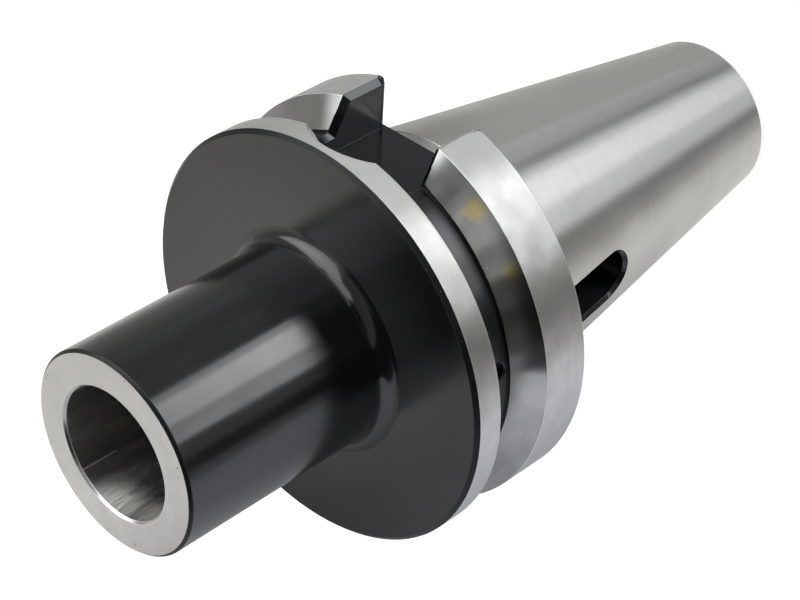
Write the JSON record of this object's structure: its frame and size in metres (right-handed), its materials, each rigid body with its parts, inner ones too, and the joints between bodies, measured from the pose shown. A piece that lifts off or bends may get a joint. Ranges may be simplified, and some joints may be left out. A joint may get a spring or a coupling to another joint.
{
  "type": "spindle taper to self-holding taper socket adapter",
  "caption": "One-piece steel tool holder: long ground 7:24 taper shank, slotted and grooved flange, and a cylindrical nose with a self-holding taper socket for tanged drills.",
  "frame": {"origin": "centre of the gauge plane of the 7:24 taper, where the shank measures 69.85 mm", "axes": "+Z along the adapter's axis from the shank to the nose, +X through the middle of one drive slot, +Y through the drift slot; it stands on its small end, nose up"},
  "size_m": [0.1, 0.1, 0.1968],
  "materials": {
    "steel": "hardened alloy steel: shank, lands, groove flanks, nose face and socket ground bright, the rest black oxide"
  },
  "bodies": {
    "root": {"adapter_body": "steel"}
  },
  "joints": []
}
